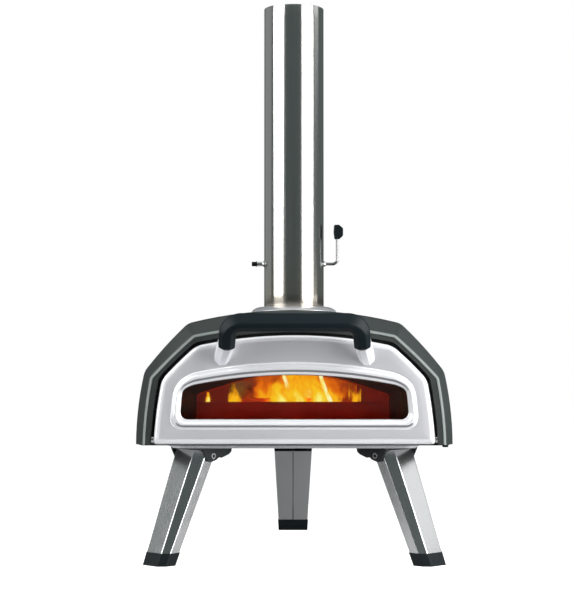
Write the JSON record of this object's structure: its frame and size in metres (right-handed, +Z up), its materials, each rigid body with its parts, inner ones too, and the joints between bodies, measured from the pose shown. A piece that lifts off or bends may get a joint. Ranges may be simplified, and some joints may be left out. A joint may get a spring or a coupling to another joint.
{
  "type": "portable wood fired pizza oven",
  "caption": "Table-top wood fired pizza oven with a drop-down glass door, tall damper chimney, rear fuel box with lift-off lid and folding splayed legs.",
  "frame": {"origin": "on the ground, under the middle of the whole oven's box", "axes": "+Z up along the chimney, the longest way; the door faces -Y; +X is the oven's width, the shortest way, towards the damper lever's side"},
  "size_m": [0.433, 0.69, 0.779],
  "materials": {
    "shell_coating": "powder coated, satin",
    "bezel_coating": "powder coated, satin",
    "bracket_paint": "painted, satin",
    "door_steel": "satin, bead blasted",
    "stainless": "brushed",
    "liner_steel": "heat darkened",
    "baffle_steel": "heat coloured",
    "fastener_steel": "polished",
    "grate_iron": "rough",
    "window_glass": "clear, heat proof",
    "grip_black": "matt",
    "foot_rubber": "matt",
    "seal_rope": "woven glass rope",
    "stone": "fired cordierite",
    "wool": "ceramic wool"
  },
  "bodies": {
    "oven_body": {"outer_shell": "shell_coating", "front_bezel": "bezel_coating", "mouth_frame": "bracket_paint", "door_seal": "seal_rope", "rear_panel": "bracket_paint", "rear_panel_screws": "fastener_steel", "base_plate": "bracket_paint", "base_pan": "stainless", "base_stud": "foot_rubber", "chamber_left_wall": "liner_steel", "chamber_right_wall": "liner_steel", "chamber_roof": "liner_steel", "insulation": "wool", "stone_rails": "liner_steel", "baking_stone": "stone", "rear_baffle": "baffle_steel", "firebox": "stainless", "burner_port_cover": "stainless", "port_cover_screws": "fastener_steel", "fuel_tray": "liner_steel", "fuel_grate": "grate_iron", "left_hinge_bush": "fastener_steel", "right_hinge_bush": "fastener_steel", "flue_collar": "stainless", "chimney_flange": "stainless", "bracket_screws": "fastener_steel", "front_left_bracket": "bracket_paint", "front_left_pivot_pin": "fastener_steel", "front_right_bracket": "bracket_paint", "front_right_pivot_pin": "fastener_steel", "rear_bracket": "bracket_paint", "rear_pivot_pin": "fastener_steel"},
    "door": {"door_panel": "door_steel", "door_inner_panel": "door_steel", "door_glass": "window_glass", "glass_gasket": "seal_rope", "glass_retainer": "stainless", "retainer_screws": "fastener_steel", "handle_bar": "grip_black", "left_handle_standoff": "door_steel", "right_handle_standoff": "door_steel", "left_hinge_pin": "fastener_steel", "right_hinge_pin": "fastener_steel"},
    "chimney": {"chimney_pipe": "stainless", "pipe_bushings": "stainless"},
    "damper": {"damper_plate": "stainless", "damper_screws": "fastener_steel", "damper_rod": "fastener_steel", "damper_knob": "grip_black", "damper_nut": "foot_rubber", "damper_spacer": "fastener_steel"},
    "fuel_hatch": {"fuel_lid": "stainless", "lid_handle": "grip_black", "lid_handle_posts": "fastener_steel"},
    "front_left_leg_unit": {"front_left_leg": "stainless", "front_left_foot": "foot_rubber"},
    "front_right_leg_unit": {"front_right_leg": "stainless", "front_right_foot": "foot_rubber"},
    "rear_leg_unit": {"rear_leg": "stainless", "rear_foot": "foot_rubber"}
  },
  "joints": [
    {"name": "door_hinge", "type": "hinge", "parent": "oven_body", "child": "door", "pos_m": [0, -0.277, 0.169], "axis": [1, 0, 0], "range_deg": [0, 90]},
    {"name": "chimney_lift", "type": "slide", "parent": "oven_body", "child": "chimney", "axis": [0, 0, 1], "range_m": [0, 0.1]},
    {"name": "damper_turn", "type": "hinge", "parent": "chimney", "child": "damper", "pos_m": [0, -0.163, 0.4133], "axis": [1, 0, 0], "range_deg": [0, 90]},
    {"name": "fuel_lid_lift", "type": "slide", "parent": "oven_body", "child": "fuel_hatch", "axis": [0, 0, 1], "range_m": [0, 0.12]},
    {"name": "front_left_leg_fold", "type": "hinge", "parent": "oven_body", "child": "front_left_leg_unit", "pos_m": [-0.1345, -0.231, 0.1453], "axis": [0.7071, -0.7071, 0], "range_deg": [0, 114]},
    {"name": "front_right_leg_fold", "type": "hinge", "parent": "oven_body", "child": "front_right_leg_unit", "pos_m": [0.1345, -0.231, 0.1453], "axis": [0.7071, 0.7071, 0], "range_deg": [0, 114]},
    {"name": "rear_leg_fold", "type": "hinge", "parent": "oven_body", "child": "rear_leg_unit", "pos_m": [0, 0.104, 0.1453], "axis": [-1, 0, 0], "range_deg": [0, 114]}
  ]
}
